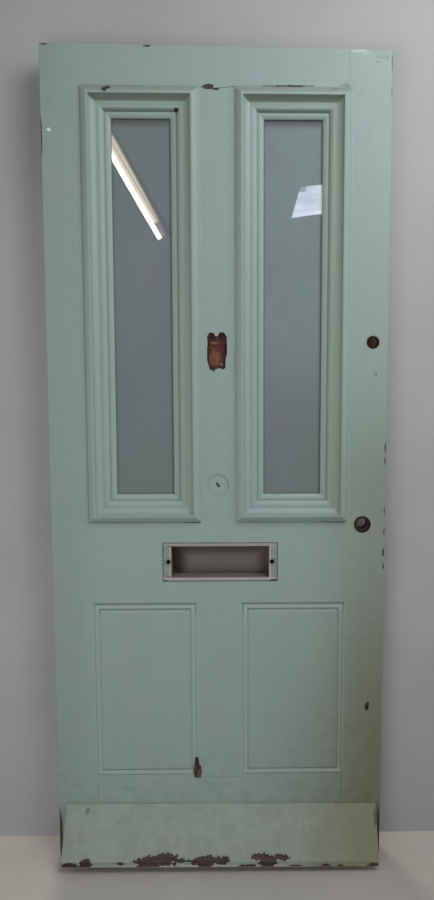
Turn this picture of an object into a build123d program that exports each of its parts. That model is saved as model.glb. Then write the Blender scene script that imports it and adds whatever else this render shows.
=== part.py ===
from build123d import *
import os

os.makedirs("parts", exist_ok=True)

# Millimetres. X runs from the hanging edge to the lock edge, +Y points indoors and +Z up.
# The origin is the middle of the leaf's bottom edge. Left and right are as seen from outdoors.

# The leaf
leaf_width = 838
leaf_height = 2032
leaf_thickness = 44
top_fall = 8.5  # the planed top edge is this much lower at the lock side
arris = 1.5  # worn rounding of the long outer corners

# The members of its frame
stile_width = 102
top_rail_width = 104
lock_rail_width = 218
lock_rail_level = 676  # underside above the bottom edge
bottom_rail_width = 221
upper_muntin_width = 100
lower_muntin_width = 118

# Joints between the members
tenon_thickness = 14
tenon_gap = 0.1  # each cheek and each edge of a tenon
top_tenon_width = 60
lock_tenon_width = 55
bottom_tenon_width = 62
wedge_length = 75
wedge_butt = 7
wedge_tip = 1.5
wedge_gap = 0.1
stub_length = 30
stub_width = 60
stub_end_gap = 1.5

# Raised moulding round the glass: the members of its section, from the glass outwards
moulding_fillet = 13
moulding_quirk = 1.5
moulding_ovolo = 12.5
moulding_flat = 4
moulding_cove = 18
moulding_crest = 5
moulding_back = 15
moulding_lap = 7  # over the face of the frame
moulding_rise = 17  # from the face of the leaf to the crest
moulding_edge = 3.5  # thickness of its outer edge
sight_edge = 4.5  # thickness at the glass
fillet_rise = 4.5
fillet_bulge = 0.12
quirk_sink = 1.5
flat_rise = 1  # from the face of the leaf to the flat
flat_step = 1  # from the flat down to the foot of the cove
crest_step = 2
member_bulge = 0.17  # height of a curved member over its chord
back_bulge = 0.05
moulding_gap = 0.3  # between the moulding and the edge of the opening

# Glass
glass_setback = 16  # from the face of the leaf
glass_thickness = 4
glass_gap = 2  # round the edge of a pane

# Moulding that holds the glass from indoors
inner_sight_edge = 6
inner_ovolo_start = 9
inner_quirk = 1
inner_flat = 20
inner_recess = 1  # behind the indoor face

# Flush panels and the bead round them
bead_width = 15
bead_depth = 12  # from the face of the leaf to the tongue
bead_gap = 0.3  # each side of the bead
bead_quirk = 2
bead_quirk_depth = 3
bead_round = 1.5
bead_recess = 0.3
field_recess = 0.5  # of the panel behind the face of the leaf
tongue_thickness = 9
tongue_play = 0.1  # each side of the tongue
tongue_end_gap = 1
groove_depth = 10

# Moulding round the panels indoors
panel_moulding_width = 24
panel_moulding_fillet = 4
panel_moulding_edge = 5
panel_moulding_flat = 4
panel_moulding_recess = 2  # behind the indoor face

# Weatherboard
board_end_gap = 18  # from its end to the leaf's edge
board_shift = 3.4  # towards the lock edge
board_clearance = 17  # above the leaf's bottom edge
board_tilt = 0.53  # degrees, lower at the lock side
board_height = 127
board_reach = 80
board_top = 8  # thickness along its top edge
board_nose = 15  # height of its front edge
nose_radius = 3
drip_radius = 4
drip_setback = 14  # from the front edge to the drip groove

# Screws that hold the weatherboard
screw_count = 3
screw_inset = 98  # from the board's end
screw_rise = 105  # above the board's underside
screw_radius = 2.4
screw_head_radius = 4.8
screw_head_height = 3
screw_slot_width = 1.2
screw_slot_depth = 1
screw_grip = 28  # its length inside the leaf
screw_point = 6
screw_gap = 0.1
pocket_radius = 5.5
pocket_floor = 13  # from the face of the leaf

# Letter plate opening
slot_width = 247
slot_height = 80
slot_drop = 1  # its centre below the middle of the rail
slot_shift = 3
plate_width = 291
plate_height = 100
plate_depth = 2
plate_bolt_spacing = 262
plate_bolt_radius = 5

# Bored holes and keyhole in the lock stile
latch_backset = 37
latch_level = 1335
latch_radius = 15
latch_plug_radius = 18
latch_plug_thickness = 12
knob_backset = 57
knob_level = 879
knob_rose_radius = 20.5
knob_rose_depth = 12
knob_radius = 13.5
key_backset = 38
key_level = 408  # centre of its round top
key_radius = 5.5
key_tail_radius = 3
key_drop = 16

# Plugged knob hole on the upper muntin
plug_rise = 86.5  # its centre above the lock rail
plug_shift = -1.7
plug_radius = 26
plug_thickness = 14
plug_recess = 1.2
plug_gap = 0.2
plug_slot_length = 14
plug_slot_width = 7.5
plug_slot_tilt = 28  # degrees

# Chopped-out knocker seat on the upper muntin
scar_rise = 367  # above the lock rail
scar_shift = -2.5
scar_width = 49
scar_height = 99
scar_depth = 11
auger_radius = 8
auger_depth = 19
auger_spread = 22  # between the two auger holes
auger_drop = 15  # below the top of the seat

# Hinge seats on the hanging edge
hinge_height = 100
hinge_leaf_width = 32
hinge_leaf_depth = 2.6
top_hinge_drop = 157  # from the leaf's top to the seat
bottom_hinge_rise = 229
hinge_screw_radius = 1.6
hinge_screw_depth = 28
hinge_screw_pitch = 50  # between the two screws of a row
hinge_row_spread = 14
hinge_row_stagger = 20

# Places worked out from the sizes above
hanging_edge = -leaf_width / 2
lock_edge = leaf_width / 2
front = -leaf_thickness / 2
back = leaf_thickness / 2
stile_inner = leaf_width / 2 - stile_width
lock_rail_top = lock_rail_level + lock_rail_width
top_rail_level = leaf_height - top_rail_width
slot_level = lock_rail_level + lock_rail_width / 2 - slot_drop
plug_level = lock_rail_top + plug_rise
scar_level = lock_rail_top + scar_rise
board_length = leaf_width - 2 * board_end_gap
latch_x = lock_edge - latch_backset
knob_x = lock_edge - knob_backset
key_x = lock_edge - key_backset


def middle(span):
    return (span[0] + span[1]) / 2


def length(span):
    return abs(span[1] - span[0])


def grown(span, amount):
    return (span[0] - amount, span[1] + amount)


def block(x_span, y_span, z_span):
    """A box between two values on each axis."""
    spans = (x_span, y_span, z_span)
    return Pos(*[middle(span) for span in spans]) * Box(*[length(span) for span in spans])


def slab(points, y_span):
    """An outline in X and Z, carried through from one Y to the other."""
    face = make_face(Polyline(*[(x, y_span[0], z) for x, z in points], close=True))
    return extrude(face, amount=length(y_span), dir=(0, 1, 0))


def bore(x, z, radius, y_span):
    """A round bar along Y, used to bore holes and to fill them."""
    return Pos(x, middle(y_span), z) * Rot(90, 0, 0) * Cylinder(radius, length(y_span))


def section(points):
    """A section from (out, depth, bulge) points, closed back to its first point.

    Out runs along +Z and depth is measured inwards from the leaf's face. The bulge of a
    point curves the edge that ends there, as a part of that edge's length: above 0 the
    edge swells out of the wood, and below 0 it is hollow.
    """
    edges = []
    for (out, depth, _), (next_out, next_depth, bulge) in zip(points, points[1:] + points[:1]):
        start = Vector(0, front + depth, out)
        end = Vector(0, front + next_depth, next_out)
        if bulge:
            across = Vector(1, 0, 0).cross(end - start) * bulge
            edges.append(ThreePointArc(start, (start + end) * 0.5 + across, end))
        else:
            edges.append(Line(start, end))
    return make_face(edges)


def mitred_frame(profile, sight_x, sight_z):
    """Four lengths of moulding, mitred at the corners, round a rectangular sight line."""
    half_x, half_z = length(sight_x) / 2, length(sight_z) / 2
    width = profile.bounding_box().max.Z
    place = Pos(middle(sight_x), 0, middle(sight_z))
    lengths = {}
    for turn, side in enumerate(["top", "right", "bottom", "left"]):
        run, rise = (half_z, half_x) if turn % 2 else (half_x, half_z)
        bar = extrude(Pos(0, 0, rise) * profile, amount=run + width, dir=(1, 0, 0), both=True)
        far = run + width
        ends = [(-run, rise), (run, rise), (far, rise + width), (-far, rise + width)]
        mitred = bar & slab(ends, grown((front, back), moulding_rise))
        lengths[side] = place * Rot(0, 90 * turn, 0) * mitred
    return lengths


def openings(muntin_width, z_span):
    """X span and Z span of the two openings beside a muntin."""
    edge = muntin_width / 2
    return {"left": ((-stile_inner, -edge), z_span), "right": ((edge, stile_inner), z_span)}


def light_openings():
    return openings(upper_muntin_width, (lock_rail_top, top_rail_level))


def panel_openings():
    return openings(lower_muntin_width, (bottom_rail_width, lock_rail_level))


def leaf_outline():
    """The leaf's outline, with its planed top edge."""
    corners = [
        (hanging_edge, 0),
        (lock_edge, 0),
        (lock_edge, leaf_height - top_fall),
        (hanging_edge, leaf_height),
    ]
    return slab(corners, (front, back))


def tenon_spans():
    """Lowest and highest Z of the through tenons of each rail."""
    top = top_rail_level + groove_depth
    lock_low = lock_rail_level + groove_depth
    lock_high = lock_rail_level + lock_rail_width / 2
    bottom_low = 2 * groove_depth
    bottom_high = bottom_rail_width - groove_depth - bottom_tenon_width
    return {
        "top": [(top, top + top_tenon_width)],
        "lock": [(low, low + lock_tenon_width) for low in (lock_low, lock_high)],
        "bottom": [(low, low + bottom_tenon_width) for low in (bottom_low, bottom_high)],
    }


def mortise(side, low, high):
    """A mortise through a stile, flared towards the leaf's edge for two wedges."""
    inner = side * stile_inner
    outer = side * leaf_width / 2
    flare = outer - side * wedge_length
    points = [
        (inner, low - tenon_gap),
        (flare, low - tenon_gap),
        (flare, low - wedge_tip),
        (outer, low - wedge_butt),
        (outer, high + wedge_butt),
        (flare, high + wedge_tip),
        (flare, high + tenon_gap),
        (inner, high + tenon_gap),
    ]
    return slab(points, grown((-tenon_thickness / 2, tenon_thickness / 2), tenon_gap))


def wedge(side, level, way):
    """One wedge beside a tenon's edge: way is -1 below the tenon and 1 above it."""
    outer = side * leaf_width / 2
    tip = outer - side * wedge_length
    points = [
        (tip, level + way * wedge_gap),
        (outer, level + way * wedge_gap),
        (outer, level + way * (wedge_butt - wedge_gap)),
        (tip, level + way * (wedge_tip - wedge_gap)),
    ]
    return slab(points, (-tenon_thickness / 2, tenon_thickness / 2))


def wedges(side):
    """Every wedge along one edge of the leaf."""
    pieces = []
    for spans in tenon_spans().values():
        for low, high in spans:
            pieces += [wedge(side, low, -1), wedge(side, high, 1)]
    return Compound(pieces)


def panel_grooves():
    """The grooves that take the panels' tongues."""
    y_span = grown((front + bead_depth, front + bead_depth + tongue_thickness), tongue_play)
    left, right = [
        block(grown(x_span, groove_depth), y_span, grown(z_span, groove_depth))
        for x_span, z_span in panel_openings().values()
    ]
    return left + right


def stile(side):
    """A stile with its mortises and grooves: side is -1 or 1."""
    outer = side * leaf_width / 2
    body = block((side * stile_inner, outer), (front, back), (0, leaf_height))
    corners = body.edges().filter_by(Axis.Z).sort_by(Axis.X)
    body = fillet(corners[:2] if side < 0 else corners[2:], arris)
    body &= leaf_outline()
    for spans in tenon_spans().values():
        for low, high in spans:
            body -= mortise(side, low, high)
    return body - panel_grooves()


def rail(name, low, high):
    """A rail with tenons that reach through both stiles."""
    body = block((-stile_inner, stile_inner), (front, back), (low, high))
    for tenon_span in tenon_spans()[name]:
        cheeks = (-tenon_thickness / 2, tenon_thickness / 2)
        body += block((hanging_edge, lock_edge), cheeks, tenon_span)
    return body & leaf_outline()


def muntin(width, low, high):
    """A muntin with a stub tenon at each end."""
    body = block((-width / 2, width / 2), (front, back), (low, high))
    tenon_x = (-stub_width / 2, stub_width / 2)
    cheeks = (-tenon_thickness / 2, tenon_thickness / 2)
    return body + block(tenon_x, cheeks, grown((low, high), stub_length))


def stub_socket(level, way):
    """The mortise for a stub tenon, cut upwards (1) or downwards (-1) from a rail's edge."""
    tenon_x = grown((-stub_width / 2, stub_width / 2), tenon_gap)
    cheeks = grown((-tenon_thickness / 2, tenon_thickness / 2), tenon_gap)
    return block(tenon_x, cheeks, (level, level + way * (stub_length + stub_end_gap)))


def hinge_levels():
    return (leaf_height - top_hinge_drop - hinge_height, bottom_hinge_rise)


def hinge_seat(level):
    """The recess for one hinge leaf, with pilot holes in two staggered rows."""
    floor = hanging_edge + hinge_leaf_depth
    leaf_y = (back - hinge_leaf_width, back)
    cut = block((hanging_edge, floor), leaf_y, (level, level + hinge_height))
    for row in (-1, 1):
        for step in (-1, 1):
            y = middle(leaf_y) + row * hinge_row_spread / 2
            z = level + hinge_height / 2 + (row * hinge_row_stagger + step * hinge_screw_pitch) / 2
            pilot = Rot(0, 90, 0) * Cylinder(hinge_screw_radius, hinge_screw_depth)
            cut += Pos(floor + hinge_screw_depth / 2, y, z) * pilot
    return cut


def hanging_stile():
    body = stile(-1)
    for level in hinge_levels():
        body -= hinge_seat(level)
    return body


def keyhole():
    """Round above and narrower below, right through the stile."""
    top = Pos(key_x, key_level) * Circle(key_radius)
    tail = Pos(key_x, key_level - key_drop) * Circle(key_tail_radius)
    outline = make_hull([top.edge(), tail.edge()])
    return extrude(Plane.XZ.offset(-back) * outline, amount=leaf_thickness)


def lock_stile():
    body = stile(1) - keyhole()
    body -= bore(latch_x, latch_level, latch_radius, (front, back - latch_plug_thickness))
    body -= bore(latch_x, latch_level, latch_plug_radius, (back - latch_plug_thickness, back))
    body -= bore(knob_x, knob_level, knob_rose_radius, (front, front + knob_rose_depth))
    return body - bore(knob_x, knob_level, knob_radius, (front, back))


def latch_hole_plug():
    """The wood let in from indoors to close the latch hole."""
    radius = latch_plug_radius - plug_gap
    return bore(latch_x, latch_level, radius, (back - latch_plug_thickness, back))


def top_rail():
    return rail("top", top_rail_level, leaf_height) - stub_socket(top_rail_level, 1)


def lock_rail():
    """The middle rail, with the seat, opening and bolt holes of a letter plate."""
    body = rail("lock", lock_rail_level, lock_rail_top)
    body -= stub_socket(lock_rail_level, 1)
    body -= stub_socket(lock_rail_top, -1)
    seat_x = grown((slot_shift, slot_shift), plate_width / 2)
    seat_z = grown((slot_level, slot_level), plate_height / 2)
    body -= block(seat_x, (front, front + plate_depth), seat_z)
    slot_x = grown((slot_shift, slot_shift), slot_width / 2)
    slot_z = grown((slot_level, slot_level), slot_height / 2)
    body -= block(slot_x, (front, back), slot_z)
    for x in grown((slot_shift, slot_shift), plate_bolt_spacing / 2):
        body -= bore(x, slot_level, plate_bolt_radius, (front, back))
    return body - panel_grooves()


def bottom_rail():
    body = rail("bottom", 0, bottom_rail_width) - stub_socket(bottom_rail_width, -1)
    return body - panel_grooves() - board_screw_holes()


def knocker_seat():
    """A hacked recess with a ragged outline, and two auger holes near its top."""
    outline = [
        (-0.36, 0.06), (-0.5, 0.3), (-0.5, 0.6), (-0.47, 0.7), (-0.5, 0.88), (-0.38, 0.98),
        (-0.18, 0.98), (-0.08, 0.89), (0.04, 0.9), (0.12, 0.98), (0.34, 0.99), (0.49, 0.88),
        (0.5, 0.46), (0.43, 0.36), (0.42, 0.12), (0.32, 0.07), (0.08, 0.11), (-0.1, 0.06),
        (-0.18, 0), (-0.26, 0.06),
    ]
    points = [(scar_shift + x * scar_width, scar_level + z * scar_height) for x, z in outline]
    cut = slab(points, (front, front + scar_depth))
    auger_z = scar_level + scar_height - auger_drop
    for x in grown((scar_shift, scar_shift), auger_spread / 2):
        cut += bore(x, auger_z, auger_radius, (front, front + auger_depth))
    return cut


def upper_muntin():
    body = muntin(upper_muntin_width, lock_rail_top, top_rail_level) - knocker_seat()
    seat = (front, front + plug_recess + plug_thickness)
    return body - bore(plug_shift, plug_level, plug_radius, seat)


def lower_muntin():
    return muntin(lower_muntin_width, bottom_rail_width, lock_rail_level) - panel_grooves()


def knob_hole_plug():
    """A disc let into the muntin, with a slanting slot through it."""
    face = front + plug_recess
    disc = bore(plug_shift, plug_level, plug_radius - plug_gap, (face, face + plug_thickness))
    slot = Rot(0, 0, plug_slot_tilt) * SlotOverall(plug_slot_length, plug_slot_width, 90)
    slot = Plane.XZ * Pos(plug_shift, plug_level) * slot
    return disc - extrude(slot, amount=leaf_thickness, both=True)


def light_moulding():
    """Section of the raised moulding: fillet, ovolo, flat and cove, up to a crest and down."""
    fillet_end = moulding_fillet
    ovolo_start = fillet_end + moulding_quirk
    flat_start = ovolo_start + moulding_ovolo
    cove_start = flat_start + moulding_flat
    crest_start = cove_start + moulding_cove
    crest_end = crest_start + moulding_crest
    edge = crest_end + moulding_back
    inside = edge - moulding_lap - moulding_gap
    fillet_depth = glass_setback - sight_edge
    quirk_depth = fillet_depth - fillet_rise + quirk_sink
    return section([
        (0, glass_setback, 0),
        (0, fillet_depth, 0),
        (fillet_end, fillet_depth - fillet_rise, fillet_bulge),
        (fillet_end, quirk_depth, 0),
        (ovolo_start, quirk_depth, 0),
        (flat_start, -flat_rise, member_bulge),
        (cove_start, -flat_rise, 0),
        (cove_start, flat_step - flat_rise, 0),
        (crest_start, crest_step - moulding_rise, -member_bulge),
        (crest_start, -moulding_rise, 0),
        (crest_end, -moulding_rise, 0),
        (edge, -moulding_edge, back_bulge),
        (edge, 0, 0),
        (inside, 0, 0),
        (inside, glass_setback, 0),
    ])


def light_inset():
    """From the edge of a light's opening to the sight line of its mouldings."""
    members = (
        moulding_fillet, moulding_quirk, moulding_ovolo, moulding_flat, moulding_cove,
        moulding_crest, moulding_back,
    )
    return sum(members) - moulding_lap


def light_inner_moulding():
    """Section of the moulding that holds the glass from indoors."""
    seat = glass_setback + glass_thickness
    face = leaf_thickness - inner_recess
    inside = light_inset() - moulding_gap
    step = seat + inner_sight_edge
    return section([
        (0, seat, 0),
        (inside, seat, 0),
        (inside, face, 0),
        (inside - inner_flat, face, 0),
        (inner_ovolo_start, step, member_bulge),
        (inner_ovolo_start, step - inner_quirk, 0),
        (inner_ovolo_start - inner_quirk, step - inner_quirk, 0),
        (inner_ovolo_start - inner_quirk, step, 0),
        (0, step, 0),
    ])


def panel_bead():
    """Section of the bead round a flush panel."""
    edge = bead_width - bead_gap
    shoulder = bead_recess + bead_round
    return section([
        (0, bead_depth, 0),
        (0, bead_quirk_depth, 0),
        (bead_quirk, bead_quirk_depth, 0),
        (bead_quirk, shoulder, 0),
        (bead_quirk + bead_round, bead_recess, member_bulge),
        (edge - bead_round, bead_recess, 0),
        (edge, shoulder, member_bulge),
        (edge, bead_depth, 0),
    ])


def panel_inner_moulding():
    """Section of the moulding round a panel indoors."""
    seat = bead_depth + tongue_thickness
    face = leaf_thickness - panel_moulding_recess
    edge = panel_moulding_width - bead_gap
    return section([
        (0, seat, 0),
        (edge, seat, 0),
        (edge, face, 0),
        (edge - panel_moulding_flat, face, 0),
        (panel_moulding_fillet, seat + panel_moulding_edge, member_bulge),
        (0, seat + panel_moulding_edge, 0),
    ])


def glass(x_span, z_span):
    """A pane that reaches under the mouldings almost to the edge of its opening."""
    y_span = (front + glass_setback, front + glass_setback + glass_thickness)
    return block(grown(x_span, -glass_gap), y_span, grown(z_span, -glass_gap))


def panel(x_span, z_span):
    """A panel, tongued into the frame all round, with its field raised level with the frame."""
    tongue_back = front + bead_depth + tongue_thickness
    reach = groove_depth - tongue_end_gap
    tongue = block(grown(x_span, reach), (front + bead_depth, tongue_back), grown(z_span, reach))
    inset = bead_width + bead_gap
    field_y = (front + field_recess, tongue_back)
    return tongue + block(grown(x_span, -inset), field_y, grown(z_span, -inset))


def board_place():
    """Where the weatherboard's own middle and underside lie on the leaf."""
    return Pos(board_shift, 0, board_clearance) * Rot(0, board_tilt, 0)


def board_blank():
    """The sloping board, rounded at its nose, with a drip groove below."""
    profile = section([
        (0, 0, 0),
        (board_height, 0, 0),
        (board_height, -board_top, 0),
        (board_nose, -board_reach, 0),
        (0, -board_reach, 0),
    ])
    body = extrude(profile, amount=board_length / 2, dir=(1, 0, 0), both=True)
    front_edges = body.edges().filter_by(Axis.X).sort_by(Axis.Y)[:3]
    body = fillet(front_edges, nose_radius)
    drip = Rot(0, 90, 0) * Cylinder(drip_radius, board_length)
    return body - Pos(0, front - board_reach + drip_setback, 0) * drip


def screw_places():
    """X of each screw, in the weatherboard's own frame."""
    reach = board_length / 2 - screw_inset
    pitch = 2 * reach / (screw_count - 1)
    return [-reach + pitch * number for number in range(screw_count)]


def screw_shape(x, gap):
    """A countersunk wood screw in the weatherboard, or the hole for it when it has a gap."""
    head = front - pocket_floor
    tip = front + screw_grip
    points = [
        (0, head),
        (screw_head_radius + gap, head),
        (screw_radius + gap, head + screw_head_height),
        (screw_radius + gap, tip - screw_point),
        (0, tip + gap),
    ]
    half = make_face(Polyline(*points, close=True))
    return Pos(x, 0, screw_rise) * revolve(half, Axis.Y)


def board_screw(x):
    """A screw with a slot across its head."""
    head = front - pocket_floor
    slot_x = grown((x, x), screw_head_radius)
    slot_z = grown((screw_rise, screw_rise), screw_slot_width / 2)
    return screw_shape(x, 0) - block(slot_x, (head, head + screw_slot_depth), slot_z)


def board_screws():
    return board_place() * Compound([board_screw(x) for x in screw_places()])


def board_screw_holes():
    """The screws' holes in the leaf, as one cut."""
    first, *others = [screw_shape(x, screw_gap) for x in screw_places()]
    for hole in others:
        first += hole
    return board_place() * first


def weatherboard():
    """The board with its screw holes and the pockets over their heads."""
    body = board_blank()
    for x in screw_places():
        pocket_y = (front - board_reach, front - pocket_floor)
        body -= bore(x, screw_rise, pocket_radius, pocket_y)
        body -= screw_shape(x, screw_gap)
    return board_place() * body


def board_fillers():
    """The stopping over the screw heads, level with the board's slope."""
    pocket_y = (front - board_reach, front - pocket_floor)
    blank = board_blank()
    fillers = [
        bore(x, screw_rise, pocket_radius, pocket_y) & blank
        for x in screw_places()
    ]
    return board_place() * Compound(fillers)


def save(shape, name):
    shape.label = name
    export_step(shape, f"parts/{name}.step")


def save_glazing():
    """The panes, with the raised moulding outdoors and the flatter one indoors."""
    inset = light_inset()
    for side, (x_span, z_span) in light_openings().items():
        sight = (grown(x_span, -inset), grown(z_span, -inset))
        save(glass(x_span, z_span), f"{side}_glass")
        for edge, piece in mitred_frame(light_moulding(), *sight).items():
            save(piece, f"{side}_light_moulding_{edge}")
        for edge, piece in mitred_frame(light_inner_moulding(), *sight).items():
            save(piece, f"{side}_light_inner_moulding_{edge}")


def save_panels():
    """The flush panels, with a bead outdoors and a moulding indoors."""
    for side, (x_span, z_span) in panel_openings().items():
        save(panel(x_span, z_span), f"{side}_panel")
        sight = (grown(x_span, -bead_width), grown(z_span, -bead_width))
        for edge, piece in mitred_frame(panel_bead(), *sight).items():
            save(piece, f"{side}_panel_bead_{edge}")
        width = panel_moulding_width
        sight = (grown(x_span, -width), grown(z_span, -width))
        for edge, piece in mitred_frame(panel_inner_moulding(), *sight).items():
            save(piece, f"{side}_panel_inner_moulding_{edge}")


save(hanging_stile(), "hanging_stile")
save(lock_stile(), "lock_stile")
save(top_rail(), "top_rail")
save(lock_rail(), "lock_rail")
save(bottom_rail(), "bottom_rail")
save(upper_muntin(), "upper_muntin")
save(lower_muntin(), "lower_muntin")
save(wedges(-1), "hanging_wedges")
save(wedges(1), "lock_wedges")
save_glazing()
save_panels()
save(knob_hole_plug(), "knob_hole_plug")
save(latch_hole_plug(), "latch_hole_plug")
save(weatherboard(), "weatherboard")
save(board_screws(), "weatherboard_screws")
save(board_fillers(), "weatherboard_fillers")
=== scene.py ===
import bmesh
import bpy
import math
from collections import namedtuple
from mathutils import Matrix, Vector, noise


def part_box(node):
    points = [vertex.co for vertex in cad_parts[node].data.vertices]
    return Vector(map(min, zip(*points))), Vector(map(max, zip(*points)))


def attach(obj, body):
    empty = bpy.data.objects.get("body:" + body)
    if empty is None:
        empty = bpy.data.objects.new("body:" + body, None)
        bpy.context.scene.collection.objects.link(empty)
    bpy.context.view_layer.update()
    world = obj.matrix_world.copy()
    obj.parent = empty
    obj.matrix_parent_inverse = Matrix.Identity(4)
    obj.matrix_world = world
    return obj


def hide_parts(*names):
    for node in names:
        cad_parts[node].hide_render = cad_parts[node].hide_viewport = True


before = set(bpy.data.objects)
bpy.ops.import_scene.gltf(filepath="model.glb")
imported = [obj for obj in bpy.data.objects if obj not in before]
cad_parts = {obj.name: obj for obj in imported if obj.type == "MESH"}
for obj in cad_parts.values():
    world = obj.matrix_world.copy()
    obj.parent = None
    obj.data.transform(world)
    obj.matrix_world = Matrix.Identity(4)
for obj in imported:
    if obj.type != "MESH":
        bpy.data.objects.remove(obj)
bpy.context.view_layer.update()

# Everything on the door is given in millimetres
MM = 0.001

# Lengths closer than this count as the same, and a gap that paint has closed keeps this much
NEARLY = 0.02

# A rectangle on the face of the door
Box = namedtuple("Box", "left low right top")


def millimetres(node):
    """Lowest and highest corner of a piece of the door."""
    low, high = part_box(node)
    return low / MM, high / MM


FACE = millimetres("lock_rail")[0].y
BACK = millimetres("lock_rail")[1].y
LEAF_LEFT = millimetres("hanging_stile")[0].x
LEAF_RIGHT = millimetres("lock_stile")[1].x
LEAF_TOP = millimetres("hanging_stile")[1].z
TOP_FALL = LEAF_TOP - millimetres("lock_stile")[1].z

LOCK_RAIL_LOW = millimetres("lock_rail")[0].z
BOTTOM_RAIL_TOP = millimetres("bottom_rail")[1].z
STILE_INNER = millimetres("hanging_stile")[1].x
LOWER_MUNTIN_EDGE = millimetres("lower_muntin")[1].x
MOULDING_WIDTH = 69

# The moulding's quirk: where it lies from the sight, the most it is deep, and the share that paint fills
QUIRK_START = 12.6
QUIRK_END = 14.9
QUIRK_DEPTH = 2
QUIRK_FILL = 0.6

# The bead round each panel: how far it reaches, the gap on each side of it, and its quirk's depth
BEAD_REACH = 15
BEAD_GAP = 0.3
BEAD_QUIRK = 3
LEVEL_BEAD_FILL = 1
UPRIGHT_BEAD_FILL = 1.7

# How far old paint has softened the arrises of the pieces
SOFT_LEAF = 1.1
SOFT_MEMBER = 0.35
SOFT_MOULDING = 0.9
SOFT_BEAD = 0.6
SOFT_PANEL = 0.4

# Sight size of each light
LIGHTS = {
    side: Box(
        millimetres(f"{side}_light_moulding_left")[1].x,
        millimetres(f"{side}_light_moulding_bottom")[1].z,
        millimetres(f"{side}_light_moulding_right")[0].x,
        millimetres(f"{side}_light_moulding_top")[0].z,
    )
    for side in ("left", "right")
}

PANEL_OPENINGS = tuple(
    Box(left, BOTTOM_RAIL_TOP, right, LOCK_RAIL_LOW)
    for left, right in ((STILE_INNER, -LOWER_MUNTIN_EDGE), (LOWER_MUNTIN_EDGE, -STILE_INNER))
)

# The seat of the letter plate and the slot through it
SEAT = Box(-142.5, 734, 148.5, 834)
SLOT = Box(-120.5, 744, 126.5, 824)
PLATE_BOLTS = (-128, 134)
SLOT_LEVEL = 784

# The torn seat of the knocker, from the fixing holes at its top to its foot
SCAR_MIDDLE = -1.3
SCAR_FOOT = 1259.5
SCAR_WIDTH = 49
SCAR_HEIGHT = 99
SCAR_FLOOR = -11

PLUG_MIDDLE = (-1.7, 980.5)
PLUG_RADIUS = 26

# Bored holes in the lock stile: x, z, radius
LATCH_HOLE = (382, 1335, 15)
KNOB_HOLE = (362, 879, 20.5)


def tint(red, green, blue):
    """A colour given as it looks on a screen, 0 to 255."""
    shares = (value / 255 for value in (red, green, blue))
    return tuple(s / 12.92 if s <= 0.04045 else ((s + 0.055) / 1.055) ** 2.4 for s in shares) + (1,)


MINT = tint(150, 169, 159)
MINT_GREY = tint(152, 166, 162)
MINT_DEEP = tint(134, 156, 143)
# Pale mint of worn paint, and also of painted light over joints and of highlights
MINT_WORN_AND_LIT = tint(172, 187, 178)
STONE = tint(158, 163, 148)
# Dark olive-brown for grime, and for painted shade in hollows, joints and under the mouldings
SHADE_AND_GRIME = tint(72, 68, 56)
HIGHLIGHT_WHITE = tint(206, 212, 205)
OFF_WHITE = tint(206, 201, 188)
OFF_WHITE_DEEP = tint(184, 177, 160)
RAW_WOOD = tint(150, 112, 82)
RAW_WOOD_DEEP = tint(112, 76, 52)
OLD_WOOD = tint(82, 58, 46)
ROTTEN_WOOD = tint(46, 33, 27)
RED_WOOD = tint(120, 62, 40)
PINK_WOOD = tint(150, 126, 116)
# Dark marks on the edges of the leaf: partly wear, partly painted shadow
EDGE_WEAR_AND_SHADE = tint(70, 72, 62)


# Chip over the foot of the lower muntin: x, z, width, height, colour, depth
MUNTIN_CHIP = (
    (-60, 256, 12, 28, tint(50, 40, 40), 1),
    (-59, 231, 25, 46, tint(50, 40, 40), 1),
    (-54, 223, 14, 26, tint(106, 70, 72), 0.3),
    (-65, 238, 8, 20, tint(96, 68, 68), 0.3),
)

# Saw cuts at the left end of the slot, and grime along the foot of the seat
KERFS = (
    (-122, 824.4, 20, 2.6, SHADE_AND_GRIME, 0.4),
    (-122, 745, 26, 2.6, SHADE_AND_GRIME, 0.4),
    (138, 736, 24, 6, SHADE_AND_GRIME, 0.3),
    (-136, 736, 14, 4, SHADE_AND_GRIME, 0.3),
)

# Areas of the torn timber from its lower middle: x, z, width, height, share, colour
TORN_COLOURS = (
    (-13, 86, 20, 26, 0.6, tint(42, 36, 22)),
    (6, 68, 20, 40, 0.6, tint(84, 36, 36)),
    (5, 85, 15, 10, 0.5, tint(112, 88, 86)),
    (-8, 36, 28, 40, 0.3, tint(150, 96, 72)),
    (2, 40, 14, 30, 0.25, tint(126, 72, 40)),
    (19, 50, 9, 90, 0.7, tint(38, 24, 24)),
    (9, 21, 12, 9, 0.6, tint(120, 100, 96)),
    (-10, 73, 18, 8, 0.5, tint(140, 112, 86)),
)


class Value:
    """A number that changes over a surface, so that finishes read as arithmetic."""

    def __init__(self, finish, socket):
        self.finish = finish
        self.socket = socket

    def math(self, operation, *others):
        terms = dict(enumerate((self, *others)))
        return self.finish.add("Math", {"operation": operation}, terms)

    def after(self, operation, first):
        return self.finish.add("Math", {"operation": operation}, {0: first, 1: self})

    def __add__(self, other):
        return self.math("ADD", other)

    def __sub__(self, other):
        return self.math("SUBTRACT", other)

    def __mul__(self, other):
        return self.math("MULTIPLY", other)

    def __truediv__(self, other):
        return self.math("DIVIDE", other)

    def __rsub__(self, other):
        return self.after("SUBTRACT", other)

    def __rtruediv__(self, other):
        return self.after("DIVIDE", other)

    def __abs__(self):
        return self.math("ABSOLUTE")

    __radd__ = __add__
    __rmul__ = __mul__

    def at_least(self, other):
        return self.math("MAXIMUM", other)


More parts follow.
